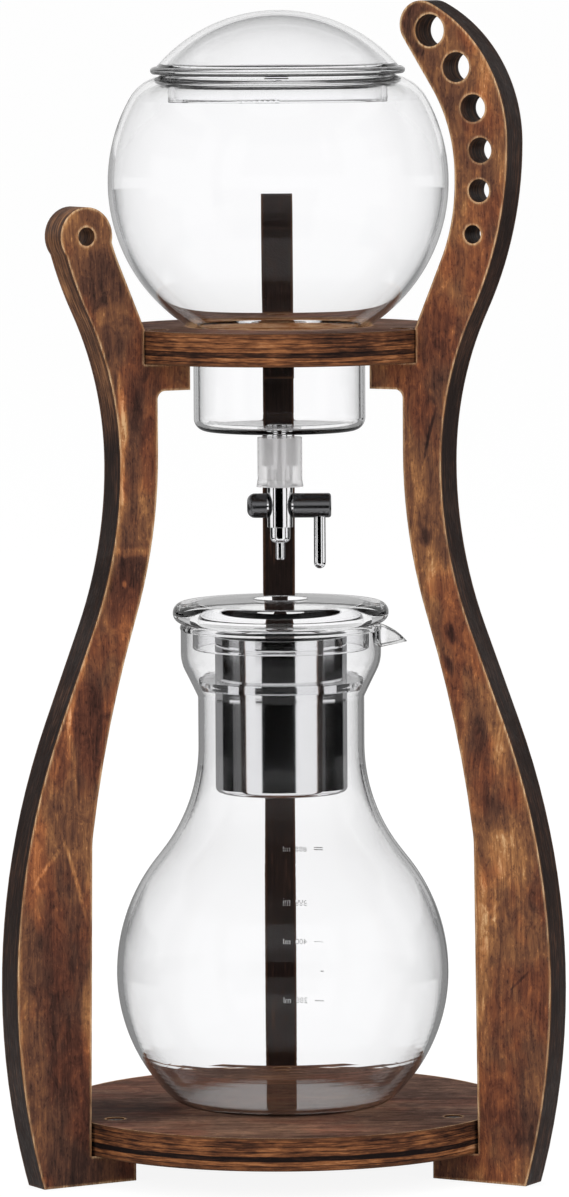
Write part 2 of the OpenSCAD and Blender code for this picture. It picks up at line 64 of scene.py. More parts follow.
class Graph:
    """A material's node tree, with short calls for its usual nodes."""

    def __init__(self, name, world=None):
        self.owner = world or bpy.data.materials.new(name)
        self.owner.use_nodes = True
        self.tree = self.owner.node_tree
        self.tree.nodes.clear()

    def add(self, kind, inputs=None, **settings):
        node = self.tree.nodes.new("ShaderNode" + kind)
        for key, value in settings.items():
            setattr(node, key, value)
        for key, value in (inputs or {}).items():
            self.put(node.inputs[key], value)
        return node

    def put(self, socket, value):
        if isinstance(value, bpy.types.NodeSocket):
            self.tree.links.new(value, socket)
        else:
            socket.default_value = value

    def math(self, operation, a, b=0.0, c=0.0):
        node = self.add("Math", operation=operation)
        for socket, value in zip(node.inputs, (a, b, c)):
            self.put(socket, value)
        return node.outputs[0]

    def times(self, a, b):
        return self.math("MULTIPLY", a, b)

    def total(self, *values):
        out = values[0]
        for value in values[1:]:
            out = self.math("ADD", out, value)
        return out

    def swing(self, value, size):
        """A value from 0 to 1 as a change of tone of this size, centred on 0."""
        return self.math("MULTIPLY_ADD", value, size, -size / 2)

    def step(self, value, start, end, low=0.0, high=1.0):
        """A smooth step of value from start to end, mapped to low and high."""
        node = self.add("MapRange", interpolation_type="SMOOTHSTEP")
        for key, x in zip(range(5), (value, start, end, low, high)):
            self.put(node.inputs[key], x)
        return node.outputs[0]

    def mix(self, factor, a, b, blend="MIX"):
        node = self.add("Mix", data_type="RGBA", blend_type=blend)
        self.put(node.inputs[0], factor)
        self.put(node.inputs[6], a)
        self.put(node.inputs[7], b)
        return node.outputs[2]

    def ramp(self, value, stops):
        node = self.add("ValToRGB", {"Fac": value})
        items = node.color_ramp.elements
        while len(items) < len(stops):
            items.new(0.5)
        for item, (place, colour) in zip(items, stops):
            item.position = place
            item.color = colour
        return node.outputs[0]

    def place(self):
        """The place on the object, in metres in the tower's frame."""
        return self.add("TexCoord").outputs["Object"]

    def vector(self, operation, a, b):
        return self.add("VectorMath", {0: a, 1: b}, operation=operation).outputs[0]

    def scaled(self, vector, x, y, z):
        return self.vector("MULTIPLY", vector, (x, y, z))

    def part(self, vector, index):
        return self.add("SeparateXYZ", {0: vector}).outputs[index]

    def noise(self, vector, scale=1.0, detail=3.0, rough=0.55, twist=0.0):
        inputs = {
            "Vector": vector,
            "Scale": scale,
            "Detail": detail,
            "Roughness": rough,
            "Distortion": twist,
        }
        return self.add("TexNoise", inputs).outputs[0]

    def bands(self, value, detail=2.0, rough=0.5):
        """Bands of uneven width along one value."""
        inputs = {"W": value, "Scale": 1.0, "Detail": detail, "Roughness": rough}
        return self.add("TexNoise", inputs, noise_dimensions="1D").outputs[0]

    def oval(self, place, at, size, lean, soft):
        """1 inside a leaning oval on a board's face, fading to 0 round it. at and size in millimetres."""
        inputs = {
            "Vector": place,
            "Location": (at[0] * MM, 0, at[1] * MM),
            "Rotation": (0, math.radians(lean), 0),
            "Scale": (size[0] * MM, 1000, size[1] * MM),
        }
        inside = self.add("Mapping", inputs, vector_type="TEXTURE").outputs[0]
        away = self.add("VectorMath", {0: inside}, operation="LENGTH").outputs["Value"]
        return self.step(away, 1 - soft, 1 + soft, 1.0, 0.0)

    def rounded(self, radius, samples=6):
        """The normal as if the edges were rounded by this radius."""
        return self.add("Bevel", {"Radius": radius}, samples=samples).outputs[0]

    def near_edge(self, radius):
        """0 away from edges, growing towards an edge that is nearer than the radius."""
        true_normal = self.add("NewGeometry").outputs["Normal"]
        inputs = {0: self.rounded(radius), 1: true_normal}
        dot = self.add("VectorMath", inputs, operation="DOT_PRODUCT").outputs["Value"]
        return self.math("SUBTRACT", 1.0, dot)

    def bump(self, height, strength, distance, normal=None):
        inputs = {"Height": height, "Strength": strength, "Distance": distance}
        if normal:
            inputs["Normal"] = normal
        return self.add("Bump", inputs).outputs[0]

    def shader(self, kind, inputs=None):
        return self.add(kind, inputs).outputs[0]

    def mix_shaders(self, factor, a, b):
        return self.shader("MixShader", {0: factor, 1: a, 2: b})

    def surface(self, shader):
        self.add("OutputMaterial", {"Surface": shader})
        return self.owner


# Wood: boards that were torched, brushed and rubbed back along their edges

PLY = 1.64 * MM
ARRIS_RADIUS = 1.8 * MM
BAND_RADIUS = 4.5 * MM
SOFT_RADIUS = 0.7 * MM
GRAIN_DEPTH = 0.6 * MM
# Marks narrower than this, in millimetres, are cracks and scratches
THIN_MARK = 2
# The mean tone of a board's faces and of its sawn edge
FACE_TONE = 0.5
EDGE_TONE = 0.28
# Wood between two fibres and on one, in the wide band and on the thin arris
BAND_WOOD = (srgb(128, 82, 48), srgb(178, 124, 76))
BARE_WOOD = (srgb(176, 126, 82), srgb(234, 198, 154))
SAWN_ARRIS = srgb(88, 60, 42)
RUDDY = (1.1, 0.86, 0.8, 1)


def board_space(g, turn):
    """The place on the board as (across, through, along), and 1 on its faces and 0 on its sawn edge."""
    place = g.add("TexCoord").outputs
    rotation = turn.to_euler()
    inputs = {"Vector": place["Object"], "Location": -(turn @ AXIS), "Rotation": rotation}
    local = g.add("Mapping", inputs).outputs[0]
    inputs = {"Vector": place["Normal"], "Rotation": rotation}
    normal = g.add("Mapping", inputs, vector_type="VECTOR").outputs[0]
    return local, g.step(g.math("ABSOLUTE", g.part(normal, 1)), 0.5, 0.85)


def marked(g, tone, place, marks, soft=0.5, thin_soft=0.6):
    """The tone with marks on it: (across, along, half width, half length, lean, change of tone)."""
    for across, along, wide, long, lean, change in marks:
        fade = thin_soft if min(wide, long) < THIN_MARK else soft
        mask = g.oval(place, (across, along), (wide, long), lean, fade)
        tone = g.math("MULTIPLY_ADD", mask, change, tone)
    return tone


def face_tones(g, local, grain, shade, marks_and_light):
    """The tone of a board's faces, the fibres in it and the relief of the grain."""
    # Wavy grain: the place is shifted by slow noise before the streaks are drawn
    slow = g.add("TexNoise", {"Vector": g.scaled(grain, 30, 30, 16), "Scale": 1.0, "Detail": 2.0})
    sway = g.vector("SUBTRACT", slow.outputs["Color"], (0.5, 0.5, 0.5))
    sway = g.scaled(sway, 0.012, 0.002, 0.012)
    waved = g.vector("ADD", grain, sway)
    patch = g.noise(g.scaled(grain, 42, 42, 15), detail=4, rough=0.6, twist=0.8)
    streak = g.noise(g.scaled(waved, 480, 120, 14), detail=5, rough=0.65)
    fibre = g.noise(g.scaled(waved, 1700, 900, 90), detail=3, rough=0.6)
    mottle = g.noise(g.scaled(grain, 210, 210, 105), detail=4, rough=0.7, twist=1.2)
    speck = g.noise(g.scaled(grain, 1300, 1300, 520), detail=2)
    wander = g.noise(g.scaled(grain, 16, 16, 7), detail=1)
    figure = g.bands(g.total(g.times(g.part(waved, 0), 330.0), g.times(wander, 16.0)))
    tone = g.total(
        FACE_TONE - shade,
        g.swing(patch, 0.8),
        g.swing(mottle, 0.8),
        g.swing(streak, 0.5),
        g.swing(figure, 0.24),
        g.swing(fibre, 0.42),
        g.times(g.step(speck, 0.6, 0.75), 0.16),
        g.times(g.step(speck, 0.42, 0.28), -0.18),
    )
    # The marks on the faces, some of them painted light
    smudged = g.vector("ADD", local, g.scaled(sway, 0.5, 0, 0.9))
    relief = g.total(g.times(streak, 0.5), g.times(fibre, 0.5), g.times(figure, 0.2))
    return marked(g, tone, smudged, marks_and_light), fibre, relief


def sawn_tone(g, local, grain, plies, glow, painted_wall_light):
    """The tone of the sawn edge, which shows the board's plies, blackened by the torch."""
    first_ply, contrast = plies
    warp = g.noise(g.scaled(grain, 70, 70, 30), detail=2)
    layer = g.math("MULTIPLY_ADD", g.part(local, 1), 1 / PLY, -first_ply * MM / PLY)
    layer = g.total(layer, g.swing(warp, 0.7))
    in_ply = g.math("FRACT", layer)
    which = g.bands(g.times(g.math("FLOOR", layer), 7.31), detail=0)
    glue = g.times(g.step(in_ply, 0.0, 0.16), g.step(in_ply, 1.0, 0.84))
    soot = g.noise(g.scaled(grain, 38, 90, 38), detail=5, rough=0.65)
    scratch = g.noise(g.scaled(grain, 130, 1700, 130), detail=4, rough=0.65)
    tone = g.total(
        EDGE_TONE,
        g.swing(which, contrast),
        g.swing(soot, 0.9),
        g.swing(scratch, 1.0),
        g.math("MULTIPLY_ADD", glue, 0.22, -0.12),
    )
    if glow:
        start, end, amount = glow
        tone = g.total(tone, g.step(g.part(local, 2), start, end, 0.0, amount))
    # Painted light on the walls of holes, which lie in shade
    return marked(g, tone, local, painted_wall_light, soft=0.1)


def rub_back(g, colour, grain, fibre, on_face):
    """Edges rubbed back to bare wood: a thin bright arris and a soft wide band along the faces."""
    worn = g.noise(g.scaled(grain, 80, 80, 30), detail=5, rough=0.7)
    band = g.times(g.step(g.near_edge(BAND_RADIUS), 0.0, 0.2), g.step(worn, 0.44, 0.66))
    band = g.times(band, g.times(on_face, 0.7))
    colour = g.mix(band, colour, g.mix(fibre, *BAND_WOOD))
    arris = g.step(g.near_edge(ARRIS_RADIUS), 0.006, 0.09)
    arris = g.times(arris, g.step(worn, 0.36, 0.56, 0.35, 1.0))
    bare = g.mix(g.step(fibre, 0.35, 0.65), *BARE_WOOD)
    return g.mix(arris, colour, g.mix(on_face, SAWN_ARRIS, bare))


def wood(name, turn, seed, face, edge, marks_and_light=(), shade=0.0, plies=(0.7, 0.3), glow=None,
         painted_wall_light=(), gloss=0.14):
    """Torched and brushed board. turn takes the tower's frame to (across, through, along) the board.
    face and edge are colour stops for its faces and its sawn edge. spots are marks on the faces; on the
    round boards some of them are painted light, where the glass above casts its shadow. burns is painted
    light on the sawn edge alone, on the walls of holes, which lie in shade. plies is where the first ply
    starts, in millimetres, and how strongly the plies show. glow is (start, end, amount) of a change of
    the sawn edge's tone along the board. gloss is the shader's specular level."""
    g = Graph(name)
    local, on_face = board_space(g, turn)
    grain = g.vector("ADD", local, (seed, 0, seed))
    tone, fibre, relief = face_tones(g, local, grain, shade, marks_and_light)
    skin = g.ramp(tone, face)
    ruddy = g.step(g.noise(g.scaled(grain, 55, 55, 30), detail=3), 0.45, 0.62)
    skin = g.mix(ruddy, skin, g.mix(1.0, skin, RUDDY, "MULTIPLY"))
    rim = g.ramp(sawn_tone(g, local, grain, plies, glow, painted_wall_light), edge)
    colour = rub_back(g, g.mix(on_face, rim, skin), grain, fibre, on_face)
    inputs = {
        "Base Color": colour,
        "Roughness": g.step(tone, 0.2, 0.8, 0.72, 0.5),
        "Specular IOR Level": gloss,
        "Normal": g.bump(relief, 0.5, GRAIN_DEPTH, g.rounded(SOFT_RADIUS)),
    }
    return g.surface(g.shader("BsdfPrincipled", inputs))


# Metal, glass, silicone, rubber and print


def steel(name, colour, rough, brushed=0.0):
    """Metal with fine marks that follow its turned shape."""
    g = Graph(name)
    place = g.place()
    marks = g.noise(g.scaled(place, 500, 500, 2600), detail=3)
    smear = g.noise(g.scaled(place, 90, 90, 60), detail=3)
    uneven = g.total(g.times(marks, 0.5), g.times(smear, 0.5))
    inputs = {
        "Base Color": g.mix(smear, [x * 0.94 for x in colour[:3]] + [1], colour),
        "Metallic": 1.0,
        "Roughness": g.step(uneven, 0.3, 0.7, rough * 0.8, rough * 1.3),
        "Normal": g.bump(marks, 0.04 + brushed, 0.05 * MM, g.rounded(0.25 * MM, samples=4)),
    }
    return g.surface(g.shader("BsdfPrincipled", inputs))


# Where the flask's spout begins, to the right of its collar and above its neck
SPOUT_X = (0.0365, 0.038)
SPOUT_Z = (0.16, 0.165)
SPOUT_LIP = 0.9 * MM
# The painted dark line (painted shade) where a lid meets its mouth: how far from the seat it is
# still fully dark, and where it has faded
SEAT_LINE = (0.5 * MM, 0.9 * MM)
# The upright part of a level face's normal, from not clear to clear
LEVEL_FACE = (0.55, 0.85)
LEVEL_TINT = grey(0.96)
# The colours of the painted shade at a lid's seat and along the glass's edges
SEAT_SHADE = grey(0.04)
LIP_SHADE = grey(0.06)
SHADOW_TINT = grey(0.92)


def clear_glass(name, stops, ior=1.2, lips=None, spout=None, clear_floor=False, seat=None):
    """Clear blown glass with painted shade: its colour darkens where it is seen along its wall, in place
    of the dark reflections at its edges, and it is faintly uneven. stops give this painted shade as
    the light it lets through, from seen square on to seen along its wall, and spout gives it, darker,
    for the thicker glass of the spout. lips is (radius, darkness) of more painted shade along the
    glass's edges. clear_floor keeps level faces clear of it, and seat is the height of a painted dark
    line where a lid meets its mouth. The low IOR keeps the reflections of a thin wall's two sides low."""
    g = Graph(name)
    place = g.place()
    facing = g.add("LayerWeight", {"Blend": 0.5}).outputs["Facing"]
    # Painted shade: the glass darkens where it is seen along its wall
    painted_shade = g.ramp(facing, [(at, (level, level, level * 1.005, 1)) for at, level in stops])
    if spout:
        at_spout = g.times(g.step(g.part(place, 0), *SPOUT_X), g.step(g.part(place, 2), *SPOUT_Z))
        painted_shade = g.mix(at_spout, painted_shade, g.ramp(facing, [(at, grey(level)) for at, level in spout]))
    if clear_floor:
        upright = g.part(g.add("NewGeometry").outputs["Normal"], 2)
        painted_shade = g.mix(g.step(g.math("ABSOLUTE", upright), *LEVEL_FACE), painted_shade, LEVEL_TINT)
    # A painted dark line where the lid meets its mouth
    if seat:
        away = g.math("ABSOLUTE", g.math("SUBTRACT", g.part(place, 2), seat))
        painted_shade = g.mix(g.step(away, *SEAT_LINE), SEAT_SHADE, painted_shade)
    # Painted shade along the glass's edges
    if lips:
        radius, darkness = lips
        if spout:
            radius = g.math("MULTIPLY_ADD", at_spout, SPOUT_LIP, radius)
        edge = g.step(g.near_edge(radius), 0.015, 0.2, 0.0, darkness)
        painted_shade = g.mix(edge, painted_shade, LIP_SHADE)
    wave = g.noise(g.scaled(place, 22, 22, 22), detail=1)
    dust = g.noise(g.scaled(place, 60, 60, 60), detail=4)
    inputs = {
        "Base Color": painted_shade,
        "Roughness": g.step(dust, 0.4, 0.8, 0.0, 0.02),
        "Transmission Weight": 1.0,
        "IOR": ior,
        "Normal": g.bump(wave, 0.04, MM),
    }
    glass = g.shader("BsdfPrincipled", inputs)
    # The lamps shine through the glass, which leaves only a faint shadow
    shadow = g.add("LightPath").outputs["Is Shadow Ray"]
    lit = g.shader("BsdfTransparent", {"Color": SHADOW_TINT})
    return g.surface(g.mix_shaders(shadow, glass, lit))


def milky(name, light, deep, clear, rough):
    """Milky silicone, faintly cloudy, that lets a part of the light through."""
    g = Graph(name)
    place = g.place()
    cloud = g.noise(g.scaled(place, 160, 160, 160), detail=3)
    specks = g.noise(g.scaled(place, 1800, 1800, 1800), detail=2)
    inputs = {
        "Base Color": g.mix(cloud, deep, light),
        "Roughness": g.step(specks, 0.3, 0.7, rough * 0.85, rough * 1.15),
        "Transmission Weight": clear,
        "IOR": 1.41,
        "Normal": g.bump(specks, 0.08, 0.1 * MM),
    }
    return g.surface(g.shader("BsdfPrincipled", inputs))


def rubber(name):
    """Black rubber with a fine grain."""
    g = Graph(name)
    grain = g.noise(g.scaled(g.place(), 2500, 2500, 2500), detail=2)
    inputs = {
        "Base Color": g.mix(grain, grey(0.012), grey(0.03)),
        "Roughness": g.step(grain, 0.3, 0.7, 0.45, 0.6),
        "Normal": g.bump(grain, 0.2, 0.05 * MM),
    }
    return g.surface(g.shader("BsdfPrincipled", inputs))


def ink(name):
    """White print on the glass, slightly broken up."""
    g = Graph(name)
    gaps = g.noise(g.scaled(g.place(), 1500, 1500, 1500), detail=3)
    colour = g.mix(g.step(gaps, 0.35, 0.5), srgb(170, 170, 170), srgb(235, 235, 235))
    return g.surface(g.shader("BsdfPrincipled", {"Base Color": colour, "Roughness": 0.6}))


def dress(material, *names):
    for name in names:
        slots = nodes[name].data.materials
        for i in range(len(slots)):
            slots[i] = material
        if not slots:
            slots.append(material)


# Colour stops of the boards: warm brown legs with bare tan edges, and darker round boards
LEG_FACE = [
    (0.0, srgb(38, 25, 22)),
    (0.22, srgb(64, 43, 36)),
    (0.38, srgb(88, 58, 45)),
    (0.52, srgb(110, 72, 51)),
    (0.66, srgb(136, 92, 60)),
    (0.8, srgb(168, 116, 72)),
    (1.0, srgb(214, 172, 126)),
]
LEG_EDGE = [
    (0.0, srgb(22, 15, 13)),
    (0.4, srgb(36, 25, 21)),
    (0.6, srgb(64, 43, 33)),
    (0.8, srgb(104, 70, 48)),
    (1.0, srgb(150, 106, 70)),
]
BOARD_FACE = [
    (0.0, srgb(40, 28, 24)),
    (0.3, srgb(66, 46, 38)),
    (0.5, srgb(92, 65, 52)),
    (0.68, srgb(120, 86, 66)),
    (1.0, srgb(170, 128, 96)),
]
BOARD_EDGE = [
    (0.0, srgb(24, 17, 16)),
    (0.22, srgb(54, 35, 27)),
    (0.4, srgb(100, 62, 41)),
    (0.6, srgb(152, 99, 62)),
    (0.9, srgb(216, 172, 130)),
]
# Marks on each board, in millimetres and degrees: (across, along, half width, half length, lean,
# change of tone). Most are what the torch, the saw and the tree left; the lighter middles of the
# round boards are painted light, where the glass above casts its shadow. Across a leg is out from
# the tower's axis and along it is up. On the round boards, across is back and along is to the right.
LEFT_SPOTS = [
    (83, 333, 11, 11, 0, 0.03),
    (88, 338, 1.6, 7, -30, 0.2),
    (75, 315, 9, 10, 22, -0.2),
    (73, 303, 8, 3, 0, 0.08),
    (62, 285, 9, 18, 18, -0.2),
    (68, 246, 2.6, 24, -3, 0.32),
    (67, 273, 1.2, 14, 11, 0.24),
    (61, 263, 4.5, 16, 0, -0.17),
    (57, 240, 3.6, 14, 0, 0.15),
    (63, 223, 10, 1.7, 0, 0.24),
    (64, 211, 9, 11, -8, -0.2),
    (66, 211, 0.9, 1.3, 0, 0.4),
    (84, 181, 0.8, 42, -17, 0.2),
    (76, 185, 6, 24, -16, -0.12),
    (86, 150, 9, 24, -10, -0.2),
    (90, 155, 0.7, 14, -3, 0.16),
    (88, 150, 0.7, 16, 5, 0.16),
    (85, 122, 7, 19, 10, 0.1),
    (101, 118, 5, 25, -8, 0.16),
    (87, 108, 0.8, 18, 18, 0.26),
    (98, 114, 0.7, 11, -38, 0.18),
    (94, 85, 10, 32, 0, -0.13),
    (92, 30, 13, 26, 0, -0.16),
    (82.5, 58, 2.6, 17, 0, 0.24),
    (90, 7, 13, 8, 0, -0.12),
]
TALL_SPOTS = [
    (56, 403, 9, 9, 0, -0.16),
    (72, 392, 8, 12, -30, 0.05),
    (89, 372, 4, 28, -12, 0.14),
    (79, 340, 6, 14, 0, 0.13),
    (68, 291, 9, 12, 10, -0.13),
    (61, 263, 7, 14, 0, -0.08),
    (63, 262, 0.6, 8, 16, -0.36),
    (57, 246, 4, 11, 0, 0.12),
    (62, 227, 2.2, 3, 0, -0.36),
    (66, 211, 7, 14, -12, 0.2),
    (71, 192, 1.6, 3.4, -20, -0.36),
    (70, 181, 1.4, 3, -20, -0.32),
    (87, 165, 4, 25, -18, 0.22),
    (82, 157, 4, 8, -15, -0.18),
    (94, 119, 8, 14, 0, 0.16),
    (88, 131, 5, 6, 0, -0.2),
    (85, 98, 4, 16, 0, 0.13),
    (84, 60, 3, 30, 0, 0.16),
    (98, 71, 0.45, 4.5, 50, -0.2),
    (95, 67, 0.45, 4, 12, -0.18),
    (96, 45, 10, 12, 0, -0.05),
    (95, 20, 13, 8, 0, -0.18),
    (92, 3, 14, 4, 0, 0.1),
]
BASE_MARKS_AND_LIGHT = [
    (-60, 0, 11, 50, 0, 0.12),
    (-15, -58, 26, 20, 0, -0.32),
    # Painted light: the lighter middle under the flask, where the glass casts its shadow
    (10, 0, 40, 34, 0, 0.14),
    (-20, 55, 30, 14, 0, -0.08),
]
# Painted light on the shelf's top round its hole, under the globe, where the glass casts its shadow
SHELF_LIGHT = [(0, 0, 44, 44, 0, 0.2)]
# The tall leg's holes, (across, along, radius that takes in the wall), and the shelf's hole
HOLES = [
    (63.8, 401.9, 7.2),
    (74.1, 389.2, 6.8),
    (80.6, 375.0, 6.4),
    (83.4, 360.6, 6.0),
    (82.9, 346.6, 5.6),
    (80.0, 332.0, 4.5),
]
# Painted light that lifts the walls of the holes, which lie in shade
HOLE_WALL_LIGHT = [(across, along, r, r, 0, 0.26) for across, along, r in HOLES]
SHELF_HOLE_LIGHT = [(0, 0, 38, 38, 0, 0.42)]

BOARD_TURN = Matrix(((0, 1, 0), (0, 0, 1), (1, 0, 0)))
BOARD_GLOSS = 0.05


def leg_turn(azimuth):
    return Matrix.Rotation(math.radians(-azimuth), 3, "Z")


dress(
    wood("charred_wood_left", leg_turn(210), 1.0, LEG_FACE, LEG_EDGE, LEFT_SPOTS,
         glow=(0.22, 0.3, 0.42)),
    "leg_left",
)
dress(
    wood("charred_wood_rear", leg_turn(90), 3.0, LEG_FACE, LEG_EDGE, shade=0.12,
         glow=(0.0, 0.1, -0.1)),
    "leg_rear",
)
dress(
    wood("charred_wood_tall", leg_turn(330), 7.0, LEG_FACE, LEG_EDGE, TALL_SPOTS, painted_wall_light=HOLE_WALL_LIGHT),
    "leg_tall",
)
dress(
    wood("dark_board_base", BOARD_TURN, 2.0, BOARD_FACE, BOARD_EDGE, BASE_MARKS_AND_LIGHT, plies=(10.0, 0.8),
         gloss=BOARD_GLOSS),
    "base_board",
)
dress(
    wood("dark_board_shelf", BOARD_TURN, 5.0, BOARD_FACE, BOARD_EDGE, SHELF_LIGHT, shade=0.09,
         plies=(286.5, 0.45), painted_wall_light=SHELF_HOLE_LIGHT, gloss=BOARD_GLOSS),
    "shelf_ring",
)

# The glass's painted shade: how much light it lets through, from seen square on to seen along its
# wall, falling towards the edges in place of their dark reflections
THIN_GLASS = [
    (0.0, 0.995), (0.3, 0.985), (0.46, 0.955), (0.58, 0.93), (0.68, 0.88), (0.78, 0.81),
    (0.86, 0.7), (0.93, 0.55), (1.0, 0.42),
]
FLASK_GLASS = [
    (0.0, 0.96), (0.21, 0.945), (0.34, 0.915), (0.46, 0.885), (0.56, 0.855), (0.66, 0.82),
    (0.76, 0.76), (0.84, 0.68), (0.92, 0.55), (1.0, 0.42),
]
SPOUT_GLASS = [(0.0, 0.92), (0.2, 0.75), (0.4, 0.4), (0.7, 0.12), (1.0, 0.03)]
LID_GLASS = [(0.0, 1.0), (0.5, 0.985), (0.7, 0.95), (0.85, 0.88), (0.95, 0.7), (1.0, 0.5)]
GASKET_CLEAR = [(0.0, 0.97), (0.5, 0.9), (0.8, 0.55), (1.0, 0.25)]
LID_IOR = 1.25
LID_SEAT = high.z + 0.4 * MM

dress(clear_glass("clear_glass", THIN_GLASS, clear_floor=True), "globe")
dress(
    clear_glass("flask_glass", FLASK_GLASS, lips=(1.1 * MM, 1.0), spout=SPOUT_GLASS, clear_floor=True),
    "flask",
)
dress(clear_glass("lid_glass", LID_GLASS, LID_IOR, lips=(0.6 * MM, 0.6)), "flask_lid")
dress(
    clear_glass("globe_lid_glass", THIN_GLASS, LID_IOR, lips=(1.4 * MM, 1.0), seat=LID_SEAT),
    "globe_lid",
)
dress(clear_glass("gasket_silicone", GASKET_CLEAR, 1.1), "filter_gasket")
dress(
    milky("sleeve_silicone", srgb(254, 253, 253), srgb(246, 245, 246), clear=0.68, rough=0.14),
    "silicone_sleeve",
)
dress(rubber("seal_rubber"), "plug_seals")
dress(steel("polished_steel", (0.86, 0.86, 0.87, 1), 0.09), "filter_cup", "filter_strainer")
dress(
    steel("turned_steel", (0.9, 0.9, 0.91, 1), 0.07),
    "valve_body", "valve_nozzle", "drip_tip", "valve_plug", "valve_lever",
)
dress(steel("dark_steel", (0.15, 0.15, 0.155, 1), 0.22, 0.1), "valve_knob", "valve_end_cap")
dress(steel("screw_steel", (0.16, 0.15, 0.15, 1), 0.4, 0.2), "base_screws", "shelf_screws")


# Volume marks printed on the back of the flask, read from behind
FIGURE_H = 2.1 * MM
FIGURE_SPOT = (-9.6 * MM, -1.0 * MM)
UNIT_SPOT = (-3.5 * MM, -1.0 * MM)
DASH_SPOT = (-15.7 * MM, -0.2 * MM)
DASH_H = 0.4 * MM
DASH_STEPS = 6
# The height of Blender's own figures for a text size of 1
FIGURE_SHARE = 0.7
# How far the print stands off the glass
PRINT_OFF = 0.04 * MM
# How far behind the axis a line to the flask's back starts
BEHIND = 0.2

flask_mesh = nodes["flask"].data
flask_tree = BVHTree.FromPolygons(
    [v.co for v in flask_mesh.vertices], [p.vertices for p in flask_mesh.polygons]
)
white_ink = ink("white_ink")


def on_flask(x, z):
    """The point on the outside of the flask's back at height z, x metres round to its right."""
    start = AXIS + Vector((0, BEHIND, z))
    hit = flask_tree.ray_cast(start, Vector((0, -1, 0)))[0]
    radius = hit.y - AXIS.y
    angle = x / radius
    away = Vector((-math.sin(angle), math.cos(angle), 0))
    return AXIS + away * (radius + PRINT_OFF) + Vector((0, 0, z))


def text_mesh(words, height):
    """Flat mesh of generic figures, its lower left corner at the origin."""
    curve = bpy.data.curves.new("figures", "FONT")
    curve.body = words
    curve.size = height / FIGURE_SHARE
    curve.resolution_u = 3
    holder = add_object("figures", curve)
    bpy.context.view_layer.update()
    graph = bpy.context.evaluated_depsgraph_get()
    mesh = bpy.data.meshes.new_from_object(holder.evaluated_get(graph))
    points = [v.co.copy() for v in mesh.vertices]
    faces = [tuple(p.vertices) for p in mesh.polygons]
    bpy.data.objects.remove(holder)
    bpy.data.curves.remove(curve)
    bpy.data.meshes.remove(mesh)
    return points, faces


def dash_mesh(length):
    """A short line as a strip of small faces, so that it can follow the glass."""
    turns = [length * i / DASH_STEPS for i in range(DASH_STEPS + 1)]
    points = [(x, z) for x in turns for z in (0.0, DASH_H)]
    faces = [(2 * i, 2 * i + 2, 2 * i + 3, 2 * i + 1) for i in range(DASH_STEPS)]
    return points, faces


def printed_mark(name, height_z, figures, unit, dash):
    """A mark at this height: its figures and unit, where it has them, and a dash this long."""
    points, faces = [], []

    def put(shape, spot):
        first = len(points)
        points.extend(on_flask(spot[0] + p[0], height_z + spot[1] + p[1]) for p in shape[0])
        faces.extend(tuple(first + i for i in f) for f in shape[1])

    if figures:
        put(text_mesh(figures, FIGURE_H), FIGURE_SPOT)
    if unit:
        put(text_mesh(unit, FIGURE_H), UNIT_SPOT)
    if dash:
        put(dash_mesh(dash), DASH_SPOT)
    mesh = bpy.data.meshes.new(name)
    mesh.from_pydata([tuple(p) for p in points], [], faces)
    mesh.materials.append(white_ink)
    piece = add_object(name, mesh)
    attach(piece, "flask_unit")


printed_mark("print_200", 0.0499, "200", "ml", 0.0035)
printed_mark("print_300", 0.0604, "", "", 0.0012)
printed_mark("print_400", 0.0710, "400", "ml", 0.0035)
printed_mark("print_500", 0.0862, "500", "ml", 0.0)
printed_mark("print_600", 0.1066, "600", "ml", 0.0035)


# Studio: a pale floor and white surroundings, which light the object at a plain level and are
# brighter only for the rays that look at them
FLOOR_RADIUS = 80
FLOOR_SIDES = 64
FLOOR_DROP = 0.2 * MM
FLOOR_TONES = (grey(0.78), grey(0.82))
# The floor where it is looked at: its own glow, and the part that keeps the object's shadow
FLOOR_GLOW = grey(0.9)
FLOOR_SHADED = grey(0.15)
# The sky where it isn't looked at, which lights the object
SKY_LIGHT = grey(0.6)


def white_for_sight(g):
    """1 for rays from the camera and for those that glass and metal send on, otherwise 0."""
    path = g.add("LightPath").outputs
    seen = g.math("MAXIMUM", path["Is Camera Ray"], path["Is Glossy Ray"])
    return g.math("MAXIMUM", seen, path["Is Transmission Ray"])


def surroundings():
    world = bpy.data.worlds.new("studio")
    bpy.context.scene.world = world
    g = Graph("studio", world)
    sky = g.mix(white_for_sight(g), SKY_LIGHT, WHITE)
    g.add("OutputWorld", {"Surface": g.shader("Background", {"Color": sky})})


def pale_floor():
    """The floor's material, which keeps a faint shadow of the object where it is seen."""
    g = Graph("pale_floor")
    mottle = g.noise(g.scaled(g.place(), 2, 2, 2), detail=4)
    pale = g.shader("BsdfDiffuse", {"Color": g.mix(mottle, *FLOOR_TONES)})
    shaded = g.shader("BsdfDiffuse", {"Color": FLOOR_SHADED})
    glow = g.shader("Emission", {"Color": FLOOR_GLOW})
    seen = g.shader("AddShader", {0: shaded, 1: glow})
    return g.surface(g.mix_shaders(white_for_sight(g), pale, seen))


def floor():
    turns = [math.tau * i / FLOOR_SIDES for i in range(FLOOR_SIDES)]
    ring = [(FLOOR_RADIUS * math.cos(a), FLOOR_RADIUS * math.sin(a), 0) for a in turns]
    mesh = bpy.data.meshes.new("floor")
    mesh.from_pydata(ring, [], [tuple(range(FLOOR_SIDES))])
    mesh.materials.append(pale_floor())
    thing = add_object("floor", mesh)
    thing.location.z = -FLOOR_DROP


surroundings()
floor()

